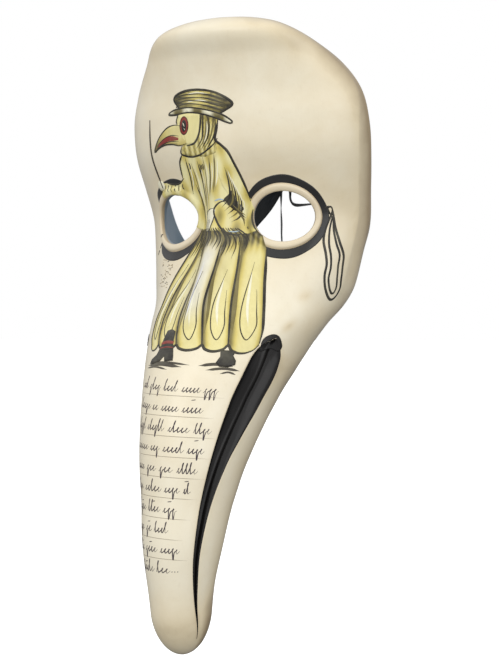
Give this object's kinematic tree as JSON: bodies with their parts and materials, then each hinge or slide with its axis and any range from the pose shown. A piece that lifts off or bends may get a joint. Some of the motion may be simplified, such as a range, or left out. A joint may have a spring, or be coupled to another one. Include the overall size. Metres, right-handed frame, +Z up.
{
  "type": "plague doctor mask",
  "caption": "Long-beaked papier-mache plague doctor mask with raised eye rims and a black ribbon tie, hung by the tie.",
  "frame": {"origin": "middle of the ribbon tie across the open back, where the tie hangs on a hook", "axes": "+X towards the wearer's left, +Y towards the wearer's head, +Z up as the mask hangs, with the beak pointing down"},
  "size_m": [0.1618, 0.1514, 0.3915],
  "materials": {
    "varnished_shell": "ivory gesso and paint under aged satin varnish",
    "rim_cord": "cord under ivory gesso, satin varnish",
    "inner_paper": "paper pasted down and painted black, satin",
    "ribbon": "black satin ribbon"
  },
  "bodies": {
    "mask": {"face_shell": "varnished_shell", "lower_jaw_shell": "varnished_shell", "eye_rim_left": "rim_cord", "eye_rim_right": "rim_cord", "joint_strip_left": "inner_paper", "joint_strip_right": "inner_paper", "temple_patch_left": "inner_paper", "temple_patch_right": "inner_paper", "tie_strand_left": "ribbon", "tie_strand_right": "ribbon"},
    "bow": {"bow_knot": "ribbon", "bow_loop_left": "ribbon", "bow_loop_right": "ribbon", "bow_tail_left": "ribbon", "bow_tail_right": "ribbon"}
  },
  "joints": [
    {"name": "bow_swing", "type": "hinge", "parent": "mask", "child": "bow", "pos_m": [0.008, 0.0061, -0.002], "axis": [1, 0, 0], "range_deg": [-15, 15]}
  ]
}
